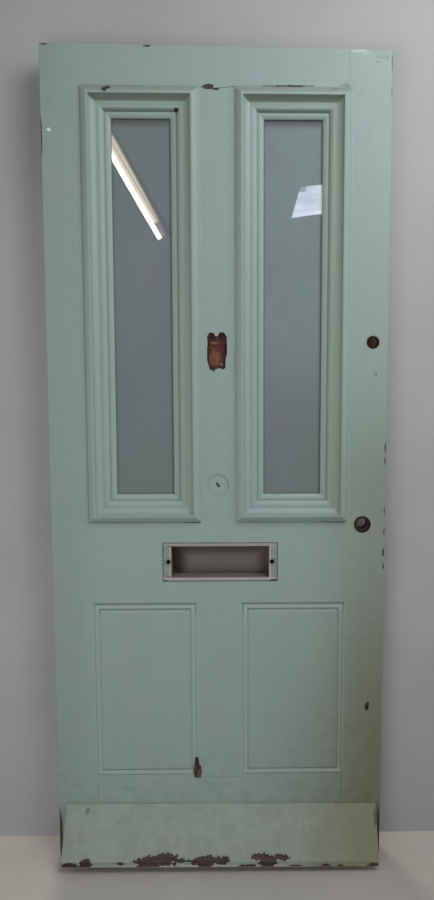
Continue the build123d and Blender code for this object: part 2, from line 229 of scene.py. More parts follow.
class Nodes:
    """A node tree in the making."""

    def __init__(self, tree):
        self.tree = tree
        tree.nodes.clear()

    def add(self, kind, settings=None, sockets=None, output=0):
        """Any node: its settings first, then the values or links of its sockets."""
        node = self.tree.nodes.new("ShaderNode" + kind)
        for name, value in (settings or {}).items():
            setattr(node, name, value)
        for key, value in (sockets or {}).items():
            if isinstance(value, Value):
                self.tree.links.new(value.socket, node.inputs[key])
            else:
                node.inputs[key].default_value = value
        return Value(self, node.outputs[output]) if node.outputs else None


# How far a crack strays from its line
CRACK_WANDER = 3


class Finish(Nodes):
    """A material in the making, with the door's millimetres as its coordinates."""

    def __init__(self, name):
        self.material = bpy.data.materials.new(name)
        self.material.use_nodes = True
        super().__init__(self.material.node_tree)
        metres = self.add("TexCoord", output="Object")
        self.place = self.add("VectorMath", {"operation": "SCALE"}, {0: metres, "Scale": 1 / MM})
        parts = self.add("SeparateXYZ", sockets={0: self.place})
        self.x = parts
        self.y = Value(self, parts.socket.node.outputs[1])
        self.z = Value(self, parts.socket.node.outputs[2])
        self.ragged = self.noise(5, detail=3, roughness=0.6, seed=11)

    def mix(self, factor, first, second):
        sockets = {0: factor, 6: first, 7: second}
        return self.add("Mix", {"data_type": "RGBA"}, sockets, output=2)

    def fade(self, value, start, end):
        """0 before start and 1 past end, with a soft change between."""
        sockets = {"Value": value, "From Min": start, "From Max": end}
        return self.add("MapRange", {"interpolation_type": "SMOOTHSTEP"}, sockets)

    def noise(self, size, detail=2, roughness=0.5, stretch=(1, 1, 1), seed=0):
        """Clouds of the given size in millimetres, drawn out along an axis by stretch."""
        scale = tuple(1 / (size * share) for share in stretch)
        sockets = {0: self.place, 1: scale, 2: (seed, seed * 1.7, seed * 2.3)}
        vector = self.add("VectorMath", {"operation": "MULTIPLY_ADD"}, sockets)
        sockets = {"Vector": vector, "Scale": 1, "Detail": detail, "Roughness": roughness}
        return self.add("TexNoise", sockets=sockets)

    def beyond(self, box):
        """How far outside a rectangle on the face a point lies; less than 0 is inside."""
        left, low, right, top = box
        across = abs(self.x - (left + right) / 2) - (right - left) / 2
        upright = abs(self.z - (low + top) / 2) - (top - low) / 2
        return across.at_least(upright)

    def from_middle(self, x, z):
        """Distance from an axis that runs through the door."""
        return ((self.x - x).math("POWER", 2) + (self.z - z).math("POWER", 2)).math("SQRT")

    def line(self, distance, width):
        """A soft line where a distance is 0."""
        return self.fade(abs(distance), width, width * 0.3)

    def spot(self, x, z, width, height, raggedness=1.2):
        """A ragged spot on the face."""
        scale = (2 / width, 0, 2 / height)
        near = self.add("VectorMath", {"operation": "MULTIPLY"}, {0: self.place, 1: scale})
        centre = (x * scale[0], 0, z * scale[2])
        reach = self.add(
            "VectorMath", {"operation": "DISTANCE"}, {0: near, 1: centre}, output="Value"
        )
        reach = reach + (self.ragged - 0.5) * raggedness
        return self.fade(reach, 1, 0.8) * self.fade(self.y, FACE + 12, FACE + 8)

    def crack(self, start, end, width):
        """A thin ragged line from start to end."""
        (x0, z0), (x1, z1) = start, end
        length = math.hypot(x1 - x0, z1 - z0)
        along_x, along_z = (x1 - x0) / length, (z1 - z0) / length
        along = (self.x - x0) * along_x + (self.z - z0) * along_z
        across = (self.x - x0) * along_z - (self.z - z0) * along_x
        across = across + (self.noise(14, detail=3, seed=5) - 0.5) * CRACK_WANDER
        ends = self.fade(along, 0, 3) * self.fade(along, length, length - 3)
        breadth = self.noise(20, seed=31) * (width * 2)
        in_front = self.fade(self.y, FACE + 14, FACE + 10)
        return self.fade(abs(across) - breadth, 0.35, -0.1) * ends * in_front

    def surface(self, colour, roughness, height=None, **shine):
        """The finished material; height is in millimetres."""
        sockets = {"Base Color": colour, "Roughness": roughness}
        if height is not None:
            bump = {"Height": height, "Distance": MM, "Strength": 1}
            sockets["Normal"] = self.add("Bump", sockets=bump)
        sockets.update({name.replace("_", " "): value for name, value in shine.items()})
        shader = self.add("BsdfPrincipled", sockets=sockets)
        self.add("OutputMaterial", sockets={"Surface": shader})
        return self.material

    def glow(self, colour, strength):
        """A material that only shines, as brightly as the strength says."""
        bright = self.add("VectorMath", {"operation": "SCALE"}, {0: colour, "Scale": strength})
        shader = self.add("Emission", sockets={"Color": bright})
        self.add("OutputMaterial", sockets={"Surface": shader})
        return self.material


UPRIGHT = (1, 1, 40)
LEVEL = (40, 1, 1)


def paint_coat(finish, grain, age=0.3):
    """Brushed mint paint: its colour, roughness and height."""
    broad = finish.noise(150, detail=4, seed=3)
    clouds = finish.noise(26, detail=5, roughness=0.62, seed=8)
    brush = finish.noise(1.5, detail=2, stretch=grain, seed=2)
    swell = finish.noise(5, detail=2, stretch=grain, seed=21)
    colour = finish.mix(finish.fade(broad, 0.35, 0.65), MINT, MINT_GREY)
    colour = finish.mix(finish.fade(clouds, 0.5, 0.85) * 0.35, colour, MINT_DEEP)
    colour = finish.mix(finish.fade(clouds, 0.42, 0.2) * 0.2, colour, MINT_WORN_AND_LIT)
    colour = finish.mix(finish.fade(brush, 0.45, 0.8) * 0.22, colour, MINT_DEEP)
    smears = finish.fade(finish.noise(60, detail=5, roughness=0.7, stretch=grain, seed=14), 0.56, 0.8)
    colour = finish.mix(smears * age, colour, STONE)
    low_down = finish.fade(finish.z, 420, 40) * finish.fade(clouds, 0.4, 0.7)
    colour = finish.mix(low_down * 0.16, colour, SHADE_AND_GRIME)
    # Towards the right and the lower right the paint is darker and olive, and at the far left a little
    # darker: part dirt, part painted shade
    heights = finish.fade(finish.z, 1330, 950) * 0.55 + finish.fade(finish.z, 850, 300) * 0.45
    right_shade_and_dirt = finish.fade(finish.x, 200, 410) * heights
    colour = finish.mix(right_shade_and_dirt * (0.56 + clouds * 0.25), colour, tint(106, 99, 70))
    low_right_shade_and_dirt = finish.fade(finish.x, 20, 300) * finish.fade(finish.z, 850, 60)
    colour = finish.mix(low_right_shade_and_dirt * (0.25 + clouds * 0.25), colour, tint(104, 96, 70))
    colour = finish.mix(finish.fade(finish.x, -290, -400) * 0.2, colour, tint(110, 118, 108))
    roughness = 0.36 + clouds * 0.2 + brush * 0.06
    height = brush * 0.09 + swell * 0.16 + clouds * 0.12
    return colour, roughness, height


def timber(finish, grain, pale=RAW_WOOD, deep=RAW_WOOD_DEEP):
    """Bare timber, with its grain drawn out along the piece."""
    fibre = finish.noise(1.1, detail=4, roughness=0.65, stretch=grain, seed=41)
    bands = finish.noise(7, detail=3, stretch=grain, seed=43)
    return finish.mix(finish.fade(fibre * 0.6 + bands * 0.4, 0.36, 0.62), pale, deep), fibre


def indoor_coat(finish, grain, colour):
    """Off-white paint on the indoor face alone, not on what is set back from it indoors."""
    clouds = finish.noise(45, detail=4, seed=51)
    cream = finish.mix(finish.fade(clouds, 0.4, 0.7) * 0.5, OFF_WHITE, OFF_WHITE_DEEP)
    brush = finish.noise(1.7, stretch=grain, seed=53)
    cream = finish.mix(finish.fade(brush, 0.5, 0.85) * 0.35, cream, OFF_WHITE_DEEP)
    lap = finish.y + (finish.ragged - 0.5) * 6
    return finish.mix(finish.fade(lap, BACK - 5, BACK - 3.4), colour, cream)


def leaf_edges(finish, grain, colour):
    """The worn edges of the leaf: thin paint, with bare timber showing through."""
    wood, _ = timber(finish, grain)
    wear = finish.noise(34, detail=5, roughness=0.7, stretch=grain, seed=61)
    worn = finish.mix(finish.fade(wear, 0.42, 0.52), wood, MINT_DEEP)
    worn = finish.mix(finish.fade(wear, 0.62, 0.72), worn, OFF_WHITE_DEEP)
    middle = (LEAF_LEFT + LEAF_RIGHT) / 2
    half = (LEAF_RIGHT - LEAF_LEFT) / 2
    side = finish.fade(abs(finish.x - middle), half - 0.5, half - 0.2)
    slope = TOP_FALL / (LEAF_RIGHT - LEAF_LEFT)
    fall = finish.z + (finish.x - LEAF_LEFT) * slope
    top = finish.fade(fall, LEAF_TOP - 0.7, LEAF_TOP - 0.3)
    foot = finish.fade(finish.z, 0.5, 0.2)
    return finish.mix(side.at_least(top).at_least(foot), colour, worn)


def marked(finish, colour, height, marks):
    """Chips, and stains with no depth: x, z, width, height, colour, depth."""
    for x, z, width, tall, shade, depth in marks:
        mask = finish.spot(x, z, width, tall) * (1 if depth else 0.5)
        colour = finish.mix(mask, colour, shade)
        height = height - mask * depth
    return colour, height


def cracked(finish, colour, height, cracks):
    """Open joints and splits: start, end, width, colour."""
    for start, end, width, shade in cracks:
        mask = finish.crack(start, end, width)
        colour = finish.mix(mask, colour, shade)
        height = height - mask * min(width, 0.8)
    return colour, height


def frame_paint(name, grain, marks=(), cracks=(), openings=None):
    """The paint of one frame member, with the marks that it carries."""
    finish = Finish(name)
    colour, roughness, height = paint_coat(finish, grain)
    for side, box in LIGHTS.items():
        # Round each light's moulding: a dark line of painted shadow and dirt along its top and the left
        # light's left side, and elsewhere a pale line of painted light that hides the shade in the joint
        gap = finish.beyond(box) - MOULDING_WIDTH
        lightened_joints = finish.fade(finish.z, box.top + MOULDING_WIDTH, box.top + MOULDING_WIDTH - 3)
        lightened_joints = lightened_joints * (finish.fade(finish.x, box.left, box.right) if side == "left" else 1)
        shade_and_dirt = finish.fade(gap, 6, 0) * finish.fade(gap, -1, 0) * (1 - lightened_joints)
        colour = finish.mix(shade_and_dirt * 0.35, colour, SHADE_AND_GRIME)
        colour = finish.mix(finish.line(gap, 4) * lightened_joints * 0.6, colour, MINT_WORN_AND_LIT)
    for box in PANEL_OPENINGS:
        out = finish.beyond(box)
        # Along each panel's opening: a line of painted shade on the rail above it, and pale painted light
        # over the joints at its sides
        top = finish.fade(finish.z, box.top - 1, box.top)
        beside = finish.fade(finish.z, box.top - 2, box.top - 6) * finish.fade(finish.z, box.low, box.low + 4)
        colour = finish.mix(finish.line(out, 5) * top * 0.45, colour, SHADE_AND_GRIME)
        colour = finish.mix(finish.line(out, 3) * beside * 0.6, colour, MINT_WORN_AND_LIT)
    colour, height = cracked(finish, colour, height, cracks)
    colour, height = marked(finish, colour, height, marks)
    colour = leaf_edges(finish, grain, colour)
    colour = indoor_coat(finish, grain, colour)
    if openings:
        colour, height = openings(finish, colour, height)
    return finish.surface(colour, roughness, height)


def letter_opening(finish, colour, height):
    """The seat of the letter plate, cleaner than the rail, and the bare slot."""
    on_seat = finish.fade(finish.y, FACE + 6, FACE + 3)
    seat = finish.fade(finish.beyond(SEAT), 0, -0.6) * on_seat
    rubbed = finish.noise(9, detail=5, roughness=0.7, stretch=(3, 1, 1), seed=71)
    pale = finish.mix(finish.fade(rubbed, 0.35, 0.65), tint(146, 158, 151), tint(128, 134, 129))
    ends = finish.fade(finish.beyond(SLOT), 14, 2) * finish.fade(rubbed, 0.2, 0.6)
    pale = finish.mix(ends * 0.7, pale, tint(156, 146, 144))
    pale = finish.mix(finish.fade(finish.z, SLOT.top - 2, SLOT.top + 2) * 0.7, pale, tint(160, 156, 143))
    foot = finish.fade(finish.z, SLOT.low + 1, SLOT.low - 1) * finish.fade(rubbed, 0.3, 0.5)
    pale = finish.mix(foot, pale, tint(176, 166, 170))
    middle = (SLOT.left + SLOT.right) / 2
    half = (SLOT.right - SLOT.left) / 2
    streak = finish.line(abs(finish.x - middle) - half - 2.5, 2) * finish.fade(rubbed, 0.3, 0.45)
    pale = finish.mix(streak * 0.7, pale, tint(196, 190, 182))
    colour = finish.mix(seat, colour, pale)
    for x in PLATE_BOLTS:
        hole = finish.from_middle(x, SLOT_LEVEL)
        colour = finish.mix(finish.fade(hole, 12, 5) * 0.6 * seat, colour, tint(104, 88, 76))
        colour = finish.mix(finish.fade(hole, 5.6, 5), colour, ROTTEN_WOOD)
    uneven = finish.fade(finish.noise(40, detail=3, seed=73), 0.3, 0.6) * 0.5 + 0.4
    uneven = uneven.at_least(finish.fade(finish.z, SEAT.low + 4, SEAT.low + 2))
    rim = finish.line(finish.beyond(SEAT) + 1, 2.2) * finish.fade(finish.y, FACE + 4, FACE + 2)
    colour = finish.mix(rim * uneven * 0.8, colour, tint(70, 76, 70))
    colour, height = marked(finish, colour, height, KERFS)
    wood, fibre = timber(finish, LEVEL, PINK_WOOD, OLD_WOOD)
    sill = finish.fade(finish.z, SLOT.low + 3, SLOT.low + 0.5)
    wood = finish.mix(sill * finish.fade(fibre, 0.2, 0.6), wood, tint(128, 114, 106))
    inside = finish.fade(finish.beyond(SLOT), 0.6, 0.2)
    colour = finish.mix(inside, colour, wood)
    return colour, height + inside * fibre * 0.5


def torn_wood(finish):
    """The colours of the torn timber, from olive-black at the top to orange below."""
    wood, fibre = timber(finish, UPRIGHT, tint(104, 52, 40), tint(54, 28, 22))
    for x, z, width, tall, share, shade in TORN_COLOURS:
        area = finish.spot(SCAR_MIDDLE + x, SCAR_FOOT + z, width, tall, 1.4)
        wood = finish.mix(area * (share + fibre * 0.3), wood, shade)
    return wood, fibre


def scar_opening(finish, colour, height):
    """Torn timber in the knocker's seat, and on the indoor face behind it, and the plug's rim."""
    low, high = SCAR_FOOT - 8, SCAR_FOOT + SCAR_HEIGHT + 8
    box = (SCAR_MIDDLE - SCAR_WIDTH, low, SCAR_MIDDLE + SCAR_WIDTH, high)
    inside = finish.fade(finish.beyond(box), 0, -1) * finish.fade(finish.y, FACE + 0.3, FACE + 0.9)
    wood, fibre = torn_wood(finish)
    colour = finish.mix(inside, colour, wood)
    # The plug's rim: a dark groove, darker towards the upper right as painted shade
    ring = finish.line(finish.from_middle(*PLUG_MIDDLE) - PLUG_RADIUS, 2.2)
    upper_right = finish.fade(finish.x * 0.5 + finish.z, PLUG_MIDDLE[1] - 20, PLUG_MIDDLE[1] + 24)
    colour = finish.mix(ring * (upper_right * 0.35 + 0.12), colour, SHADE_AND_GRIME)
    return colour, height + inside * fibre * 0.8


def lock_openings(finish, colour, height):
    """Old timber in the holes for the latch and the knob, darkened to near black as painted shade, and rubbed
    paint round them.
    """
    wood, _ = timber(finish, UPRIGHT, tint(58, 40, 36), tint(24, 19, 17))
    for x, z, radius in (LATCH_HOLE, KNOB_HOLE):
        bore = finish.from_middle(x, z) + (finish.ragged - 0.5) * 2
        rubbed = finish.fade(bore, radius + 9, radius + 1) * finish.fade(finish.y, FACE + 2, FACE + 1)
        colour = finish.mix(rubbed * 0.5, colour, tint(140, 136, 124))
        inside = finish.fade(bore, radius + 1.2, radius + 0.5) * finish.fade(finish.y, BACK - 0.2, BACK - 0.6)
        colour = finish.mix(inside, colour, wood)
    return colour, height


def copied(node):
    """A copy of a piece of the door, merged and freed of its inner triangles' edges."""
    mesh = bmesh.new()
    mesh.from_mesh(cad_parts[node].data)
    bmesh.ops.remove_doubles(mesh, verts=mesh.verts, dist=0.002 * MM)
    bmesh.ops.dissolve_limit(
        mesh, angle_limit=math.radians(0.2), verts=mesh.verts, edges=mesh.edges
    )
    return mesh


SHARP = math.radians(32)


def eased(mesh, width, shortest, wanted=lambda edge: True):
    """Softens the long level and upright arrises, as brushed paint does."""
    arrises = []
    for edge in mesh.edges:
        run = edge.verts[1].co - edge.verts[0].co
        straight = max(abs(run.x), abs(run.z)) > 0.999 * run.length
        if len(edge.link_faces) == 2 and straight and run.length > shortest * MM:
            if edge.calc_face_angle() > SHARP and wanted(edge):
                arrises.append(edge)
    bmesh.ops.bevel(
        mesh, geom=arrises, offset=width * MM, affect="EDGES",
        segments=2, profile=0.5, material=-1, clamp_overlap=True,
    )


def finished(mesh, name, material, node=None):
    """Turns a mesh into a shaded piece of the door that stands for a node."""
    for face in mesh.faces:
        face.smooth = True
    for edge in mesh.edges:
        edge.smooth = len(edge.link_faces) == 2 and edge.calc_face_angle() < SHARP
    data = bpy.data.meshes.new(name)
    mesh.to_mesh(data)
    mesh.free()
    data.materials.append(material)
    piece = bpy.data.objects.new(name, data)
    bpy.context.scene.collection.objects.link(piece)
    weights = piece.modifiers.new("Flat faces", "WEIGHTED_NORMAL")
    weights.keep_sharp = True
    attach(piece, "root")
    if node:
        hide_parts(node)
    return piece


def on_outside(edge):
    """Whether an edge is an arris of the whole leaf."""
    return all(min(v.co.x / MM - LEAF_LEFT, LEAF_RIGHT - v.co.x / MM) < 0.1 for v in edge.verts)


def frame_members():
    """Stiles, rails and muntins, each with its own marks."""
    joint = -STILE_INNER - 1  # the stiles' joints with the rails lie about this far from the middle
    top_gaps = [
        ((-12, 1931.5), (44, 1937.5), 0.5, OLD_WOOD),
        ((104, 1939), (232, 1939.5), 0.9, tint(84, 90, 98)),
        ((140, 1939.2), (206, 1939.4), 1.5, tint(36, 40, 54)),
        ((joint, 1946), (joint, 2026), 0.2, tint(140, 156, 150)),
        ((279, 1958), (280, 2026), 0.2, tint(146, 163, 156)),
    ]
    low_gaps = [
        ((-62, 213), (58, 213), 0.25, tint(104, 110, 98)),
        ((-joint, 152), (-joint, 213), 0.25, tint(108, 120, 120)),
        ((joint, 152), (joint, 213), 0.3, tint(96, 98, 82)),
    ]
    # Under each light's moulding: its joint with the lock rail, darkened as painted shadow, darkest at the
    # right end
    foot_joint_shadows = []
    for left, low, right, _ in LIGHTS.values():
        foot, ends = low - MOULDING_WIDTH - 0.8, (left - MOULDING_WIDTH, right + MOULDING_WIDTH)
        foot_joint_shadows.append(((ends[0], foot), (ends[1], foot), 0.5, tint(84, 92, 82)))
        foot_joint_shadows.append(((ends[1] - 62, foot), (ends[1] - 2, foot), 1, tint(58, 62, 54)))
    # Each member's grain, marks, cracks, and what paints its openings
    looks = {
        "hanging_stile": (UPRIGHT, [
            (-400, 1835, 9, 10, tint(232, 240, 236), -0.3),
            (-418.5, 1820, 6, 104, tint(74, 56, 46), 0.4),
            (-408, 2029, 18, 5, EDGE_WEAR_AND_SHADE, 0.4),
            # Dark along the foot of the edge: dirt and painted shade
            (-416, 60, 12, 140, SHADE_AND_GRIME, 0.2),
        ], [], None),
        "lock_stile": (UPRIGHT, [
            (390, 1256, 9, 8, tint(52, 60, 52), 0),
            (378, 399, 8, 20, RED_WOOD, 0.5),
            (378, 396, 4, 12, ROTTEN_WOOD, 0.5),
            # At the top right corner: a painted highlight in white and pale mint
            (338, 2021, 44, 7, HIGHLIGHT_WHITE, 0),
            (358, 2016, 26, 10, MINT_WORN_AND_LIT, 0),
            (395, 2008, 38, 10, tint(126, 142, 138), 0),
            (383, 1996, 9, 7, tint(112, 124, 120), 0),
            (407, 2004, 8, 7, tint(112, 124, 120), 0),
            # Along the lock stile's edge: dark marks of wear and of painted shadow
            (419, 1993, 5, 50, EDGE_WEAR_AND_SHADE, 0.4),
            (419, 1930, 4, 36, EDGE_WEAR_AND_SHADE, 0.3),
            (418, 1073, 8, 26, EDGE_WEAR_AND_SHADE, 0.4),
            (418, 1040, 6, 20, EDGE_WEAR_AND_SHADE, 0.3),
            (418, 915, 5, 20, EDGE_WEAR_AND_SHADE, 0.4),
            (418, 862, 7, 18, EDGE_WEAR_AND_SHADE, 0.4),
            (416, 806, 7, 26, EDGE_WEAR_AND_SHADE, 0.4),
            (418, 770, 9, 14, EDGE_WEAR_AND_SHADE, 0.4),
            # Dark along the foot of the edge: dirt and painted shade
            (416, 60, 12, 150, SHADE_AND_GRIME, 0.2),
        ], [], lock_openings),
        "top_rail": (LEVEL, [
            (-164, 2029, 20, 9, OLD_WOOD, 0.6),
            (-164, 2028, 8, 6, ROTTEN_WOOD, 0.6),
            (-48, 1931, 15, 20, MINT_WORN_AND_LIT, 0),
            (-21, 1936.5, 32, 14, ROTTEN_WOOD, 1.2),
            (-2, 1931, 16, 6, ROTTEN_WOOD, 1),
            (318, 1942, 60, 10, tint(92, 98, 90), 0),
        ], top_gaps, None),
        "lock_rail": (LEVEL, [], foot_joint_shadows, letter_opening),
        "bottom_rail": (LEVEL, MUNTIN_CHIP, low_gaps, None),
        "upper_muntin": (UPRIGHT, [(40, 1281, 6, 60, tint(140, 150, 138), 0)], [], scar_opening),
        "lower_muntin": (UPRIGHT, MUNTIN_CHIP, [], None),
    }
    for node, (grain, marks, cracks, openings) in looks.items():
        mesh = copied(node)
        eased(mesh, SOFT_LEAF, shortest=30, wanted=on_outside)
        eased(mesh, SOFT_MEMBER, shortest=20)
        material = frame_paint(f"{node}_paint", grain, marks, cracks, openings)
        finished(mesh, f"{node}_painted", material, node)


# Distances from the edge of the sight to the lines of painted shade and grime in the moulding: place, width,
# strength
SHADE_AND_GRIME_LINES = ((17, 5, 0.3), (28, 1.5, 0.2), (31, 1.6, 0.2))


def moulding_paint(name, grain, marks=(), level=False):
    """Thick paint on the raised mouldings, with painted shade and grime in the hollows over each light."""
    finish = Finish(name)
    colour, roughness, height = paint_coat(finish, grain, age=0.45)
    for box in () if level else LIGHTS.values():
        side = finish.x - box.right
        right = finish.fade(side, 1, 8) * finish.fade(side, 56, 50)
        colour = finish.mix(right * 0.25, colour, tint(138, 138, 116))
    moulding_patchiness = finish.fade(finish.noise(50, detail=4, stretch=grain, seed=131), 0.25, 0.6)
    for box in LIGHTS.values() if level else ():
        # Over each light: patchy painted shade and grime in the quirks and in the cove under the crest
        out = finish.beyond(box)
        above = finish.fade(finish.z, box.top - 2, box.top + 2) * finish.fade(out, 70, 69)
        for place, width, strength in SHADE_AND_GRIME_LINES:
            shade_and_dirt = finish.line(out - place, width) * above * (0.4 + moulding_patchiness) * strength
            colour = finish.mix(shade_and_dirt, colour, SHADE_AND_GRIME)
        shaded_hollow = finish.fade(out, 34, 38) * finish.fade(out, 50, 47) * above
        colour = finish.mix(shaded_hollow * (0.4 + moulding_patchiness * 0.4), colour, tint(92, 92, 72))
        slope = finish.fade(out, 54, 57) * above
        colour = finish.mix(slope * (0.15 + moulding_patchiness * 0.25), colour, tint(146, 136, 134))
    colour, height = marked(finish, colour, height, marks)
    colour = indoor_coat(finish, grain, colour)
    return finish.surface(colour, roughness, height)


def panel_paint(name, grain):
    """The paint of a panel, or of the beads round it, with painted shade and dirt along its top."""
    finish = Finish(name)
    colour, roughness, height = paint_coat(finish, grain)
    panel_patchiness = finish.fade(finish.noise(70, detail=3, stretch=grain, seed=133), 0.3, 0.65)
    top = finish.fade(finish.z, LOCK_RAIL_LOW - 26, LOCK_RAIL_LOW - 18)
    foot = finish.fade(finish.z, BOTTOM_RAIL_TOP + 18, BOTTOM_RAIL_TOP + 15)
    for box in PANEL_OPENINGS:
        out = finish.beyond(box)
        rubbed = finish.line(out + 8, 5) * (top + foot).at_least(0.25) + finish.line(out + 20, 4) * top
        colour = finish.mix(rubbed * 0.55, colour, MINT_WORN_AND_LIT)
        # Painted shade and dirt along the joint under the rail, and in the bead's quirk at the top and the
        # foot
        shade_and_dirt = finish.line(out, 4) * (top * 0.5) + finish.line(out + 15, 4.5) * (top * 0.3 + foot * 0.45)
        colour = finish.mix(shade_and_dirt * (panel_patchiness * 0.5 + 0.5), colour, SHADE_AND_GRIME)
    colour, height = marked(finish, colour, height, MUNTIN_CHIP)
    colour = indoor_coat(finish, grain, colour)
    return finish.surface(colour, roughness, height)


def out_of(place, box):
    """How far outside a rectangle a place lies."""
    left, low, right, top = box
    across = abs(place.x - (left + right) / 2) - (right - left) / 2
    upright = abs(place.z - (low + top) / 2) - (top - low) / 2
    return max(across, upright)


def filled_quirk(mesh, box):
    """Raises the floor of a moulding's quirk, which old paint has half filled."""
    floor = [
        vert for vert in mesh.verts
        if QUIRK_START < out_of(vert.co / MM, box) < QUIRK_END and vert.co.y < (FACE + QUIRK_DEPTH) * MM
    ]
    if floor:
        foremost = min(vert.co.y for vert in floor)
        for vert in floor:
            vert.co.y += (foremost - vert.co.y) * QUIRK_FILL


def painted_in(mesh, box, fill):
    """Closes the gaps beside a bead, and raises the floor of its quirk, as old paint does."""
    edges = ((0, box.left, 1), (0, box.right, -1), (2, box.low, 1), (2, box.top, -1))
    closings = ((BEAD_GAP, NEARLY), (BEAD_REACH, BEAD_REACH + BEAD_GAP - NEARLY))
    for vert in mesh.verts:
        for axis, edge, inward in edges:
            depth = (vert.co[axis] / MM - edge) * inward
            for gap, closed in closings:
                if abs(depth - gap) < NEARLY:
                    vert.co[axis] = (edge + closed * inward) * MM
        if abs(vert.co.y / MM - FACE - BEAD_QUIRK) < NEARLY:
            vert.co.y -= fill * MM


def plain_pieces():
    """The mouldings, panels, beads and plugs."""
    chips = [
        (-264.5, 1925, 16, 15, ROTTEN_WOOD, 1.5),
        (-257.5, 1930, 14, 13, ROTTEN_WOOD, 1.5),
        (-96.5, 1883, 13, 10, ROTTEN_WOOD, 1.5),
        (282, 1931, 14, 10, tint(132, 98, 92), 0),
        (160, 1932, 60, 10, tint(156, 140, 136), 0),
    ]
    upright_moulding = moulding_paint("upright_moulding_paint", UPRIGHT, chips)
    level_moulding = moulding_paint("level_moulding_paint", LEVEL, chips, level=True)
    upright_panel = panel_paint("panel_paint", UPRIGHT)
    level_panel = panel_paint("level_bead_paint", LEVEL)
    for side in ("left", "right"):
        for edge in ("top", "right", "bottom", "left"):
            level = edge in ("top", "bottom")
            raised = level_moulding if level else upright_moulding
            sunk = level_panel if level else upright_panel
            for kind, material in (
                ("light_moulding", raised),
                ("light_inner_moulding", raised),
                ("panel_bead", sunk),
                ("panel_inner_moulding", sunk),
            ):
                node = f"{side}_{kind}_{edge}"
                mesh = copied(node)
                if kind == "light_moulding":
                    filled_quirk(mesh, LIGHTS[side])
                elif kind == "panel_bead":
                    fill = LEVEL_BEAD_FILL if level else UPRIGHT_BEAD_FILL
                    painted_in(mesh, PANEL_OPENINGS[side == "right"], fill)
                eased(mesh, SOFT_MOULDING if kind == "light_moulding" else SOFT_BEAD, shortest=40)
                finished(mesh, f"{node}_painted", material, node)
        node = f"{side}_panel"
        mesh = copied(node)
        eased(mesh, SOFT_PANEL, shortest=40)
        finished(mesh, f"{node}_painted", upright_panel, node)
    knob_plug = frame_paint("knob_plug_paint", UPRIGHT)
    finished(copied("knob_hole_plug"), "knob_hole_plug_painted", knob_plug, "knob_hole_plug")
    finish = Finish("latch_plug_wood")
    wood, fibre = timber(finish, UPRIGHT, tint(150, 110, 102), tint(96, 70, 64))
    height = fibre * 0.3
    colour = indoor_coat(finish, UPRIGHT, wood)
    latch_plug = finish.surface(colour, 0.75 - fibre * 0.1, height)
    finished(copied("latch_hole_plug"), "latch_hole_plug_painted", latch_plug, "latch_hole_plug")


def glass_finish():
    """Obscured glass, smooth in front and frosted behind."""
    finish = Finish("frosted_glass")
    clouds = finish.noise(240, detail=3, seed=81)
    grain = finish.noise(1.4, detail=3, seed=83)
    colour = finish.mix(finish.fade(clouds, 0.3, 0.7), tint(118, 138, 137), tint(126, 142, 145))
    colour = finish.mix(finish.fade(grain, 0.4, 0.8) * 0.15, colour, tint(156, 168, 166))
    lighter = finish.fade(finish.x, 0, 40) * finish.fade(finish.z, 1100, 1400)
    colour = finish.mix(lighter * 0.45, colour, tint(160, 178, 184))
    patches = finish.noise(75, detail=2, stretch=(1, 1, 1.6), seed=85)
    colour = finish.mix(finish.fade(patches, 0.46, 0.62) * 0.3, colour, tint(140, 132, 140))
    colour = finish.mix(finish.fade(finish.z, 1400, 900) * 0.35, colour, tint(122, 134, 126))
    for box in LIGHTS.values():
        # Painted shade on the glass next to the moulding, deepest under the top member and beside the right
        # member
        rim = finish.fade(finish.beyond(box), -7, 0)
        colour = finish.mix(rim * 0.4, colour, tint(60, 62, 60))
        beside = finish.fade(finish.x, box.right - 9, box.right)
        shaded = finish.fade(finish.z, box.top - 26, box.top - 1).at_least(beside * 0.6)
        near = finish.fade(finish.beyond(box), 10, 4)
        colour = finish.mix(shaded * near * 0.85, colour, tint(50, 52, 52))
    shine = {"Coat_Weight": 1, "Coat_Roughness": 0.015, "IOR": 1.5}
    return finish.surface(colour, 0.55 + grain * 0.15, **shine)


def panes():
    material = glass_finish()
    for side in ("left", "right"):
        node = f"{side}_glass"
        finished(copied(node), f"{node}_frosted", material, node)


def bare_pieces():
    """Wedges in the edges of the leaf, and the fixings of the weatherboard."""
    finish = Finish("end_grain")
    wood, fibre = timber(finish, (40, 1, 1))
    wood = finish.mix(finish.fade(finish.noise(12, detail=4, seed=91), 0.4, 0.7) * 0.6, wood, MINT_DEEP)
    end_grain = finish.surface(wood, 0.8 - fibre * 0.1, fibre * 0.3)
    finish = Finish("rusted_steel")
    rust = finish.noise(1.5, detail=5, roughness=0.7, seed=93)
    colour = finish.mix(finish.fade(rust, 0.4, 0.6), tint(96, 88, 82), tint(104, 60, 38))
    rusted = finish.surface(colour, 0.55 + rust * 0.3, rust * 0.15, Metallic=0.6)
    for node in ("hanging_wedges", "lock_wedges"):
        finished(copied(node), f"{node}_end_grain", end_grain, node)
    finished(copied("weatherboard_screws"), "weatherboard_screws_rusted", rusted, "weatherboard_screws")


# Where the weatherboard has lost its paint and some of its edge: x, z, width, height
LOSSES = (
    (-380, 25, 56, 15), (-337, 28, 28, 25), (-250, 30, 20, 7),
    (-204, 34, 30, 9), (-162, 33, 92, 23), (-134, 42, 52, 16), (-178, 23, 48, 16), (-100, 35, 34, 9),
    (-77, 35, 44, 4), (-36, 33, 62, 23), (2, 34, 42, 17), (-34, 22, 36, 10),
    (97, 40, 28, 13), (155, 39, 40, 12), (124, 32, 46, 23), (122, 20, 32, 14),
    (75, 20, 48, 6), (192, 19, 26, 5), (271, 19, 22, 7), (305, 18, 14, 6), (388, 19, 30, 8),
)
LOSS_DEPTH = 2.2

